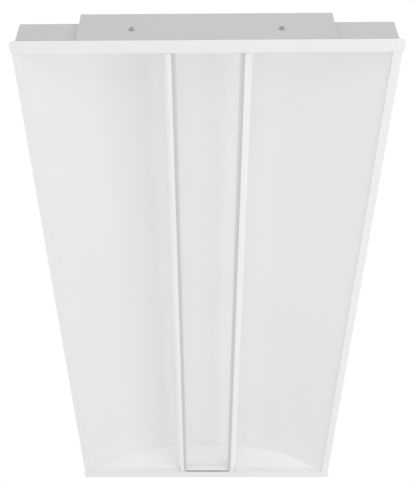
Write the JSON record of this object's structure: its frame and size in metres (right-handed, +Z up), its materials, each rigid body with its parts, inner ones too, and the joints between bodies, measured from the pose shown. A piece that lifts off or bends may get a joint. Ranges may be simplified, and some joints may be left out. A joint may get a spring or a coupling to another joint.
{
  "type": "recessed troffer light",
  "caption": "Lay-in ceiling troffer with a vaulted white reflector, a raised back box and a hinged edge-lit optic tray between two straight rails.",
  "frame": {"origin": "centre of the face that rests on the ceiling grid, at the lowest plane of the light", "axes": "+Z up into the ceiling, +Y along the length to the far end, +X across to the side opposite the tray's hinge"},
  "size_m": [0.6032, 1.2132, 0.0902],
  "materials": {
    "face_paint": "satin white powder coat",
    "reflector_paint": "matte high-reflectance white paint",
    "housing_paint": "satin light grey, a pre-painted steel sheet",
    "cover_paint": "satin white powder coat",
    "bare_aluminium": "mill finish, drawn lengthwise",
    "guide_acrylic": "clear, polished",
    "board_white": "white solder mask",
    "led_phosphor": "phosphor resin",
    "seal_foam": "closed-cell foam",
    "zinc_steel": "bright zinc plating",
    "cast_zinc": "as cast",
    "spring_steel": "bright rolled",
    "driver_case": "satin white can",
    "terminal_plastic": "moulded",
    "lead_jacket": "matte sleeve",
    "ground_green": "green passivated"
  },
  "bodies": {
    "housing": {"back_box": "housing_paint", "box_end_far": "housing_paint", "box_end_near": "housing_paint", "box_end_screws_far": "zinc_steel", "box_end_screws_near": "zinc_steel", "clip_bracket_left_far": "zinc_steel", "clip_bracket_left_near": "zinc_steel", "clip_bracket_right_far": "zinc_steel", "clip_bracket_right_near": "zinc_steel", "driver": "driver_case", "driver_screws": "zinc_steel", "end_plate_far": "housing_paint", "end_plate_near": "housing_paint", "end_reflector_far": "face_paint", "end_reflector_near": "face_paint", "ground_screw": "ground_green", "hinge_bracket_far": "zinc_steel", "hinge_bracket_near": "zinc_steel", "led_lead": "lead_jacket", "mains_lead": "lead_jacket", "side_rail_left": "face_paint", "side_rail_right": "face_paint", "terminal_block": "terminal_plastic", "vault_reflector": "reflector_paint", "wing_shell_left": "housing_paint", "wing_shell_right": "housing_paint"},
    "optic_tray": {"end_seal_far": "seal_foam", "end_seal_near": "seal_foam", "hinge_block_far": "cast_zinc", "hinge_block_near": "cast_zinc", "hinge_pin_far": "zinc_steel", "hinge_pin_near": "zinc_steel", "led_board_left": "board_white", "led_board_right": "board_white", "led_channel_left": "bare_aluminium", "led_channel_right": "bare_aluminium", "led_row_left": "led_phosphor", "led_row_right": "led_phosphor", "light_guide": "guide_acrylic", "rail_cover_left": "cover_paint", "rail_cover_right": "cover_paint", "spring_catch_far": "spring_steel", "spring_catch_near": "spring_steel", "tray_end_far": "cover_paint", "tray_end_near": "cover_paint", "tray_screws": "zinc_steel"},
    "access_plate": {"access_plate": "housing_paint", "access_screw": "zinc_steel"},
    "grid_clip_left_far": {"grid_clip_left_far": "spring_steel"},
    "grid_clip_left_near": {"grid_clip_left_near": "spring_steel"},
    "grid_clip_right_far": {"grid_clip_right_far": "spring_steel"},
    "grid_clip_right_near": {"grid_clip_right_near": "spring_steel"}
  },
  "joints": [
    {"name": "tray_swing", "type": "hinge", "parent": "housing", "child": "optic_tray", "pos_m": [-0.0593, 0, 0.008], "axis": [0, 1, 0], "range_deg": [0, 90]},
    {"name": "access_lift", "type": "slide", "parent": "housing", "child": "access_plate", "axis": [0, 0, 1], "range_m": [0, 0.06]},
    {"name": "clip_left_near_swing", "type": "hinge", "parent": "housing", "child": "grid_clip_left_near", "pos_m": [-0.2983, -0.47, 0.049], "axis": [0, 0, 1], "range_deg": [0, 90]},
    {"name": "clip_left_far_swing", "type": "hinge", "parent": "housing", "child": "grid_clip_left_far", "pos_m": [-0.2983, 0.47, 0.049], "axis": [0, 0, -1], "range_deg": [0, 90]},
    {"name": "clip_right_near_swing", "type": "hinge", "parent": "housing", "child": "grid_clip_right_near", "pos_m": [0.2983, -0.47, 0.049], "axis": [0, 0, -1], "range_deg": [0, 90]},
    {"name": "clip_right_far_swing", "type": "hinge", "parent": "housing", "child": "grid_clip_right_far", "pos_m": [0.2983, 0.47, 0.049], "axis": [0, 0, 1], "range_deg": [0, 90]}
  ]
}
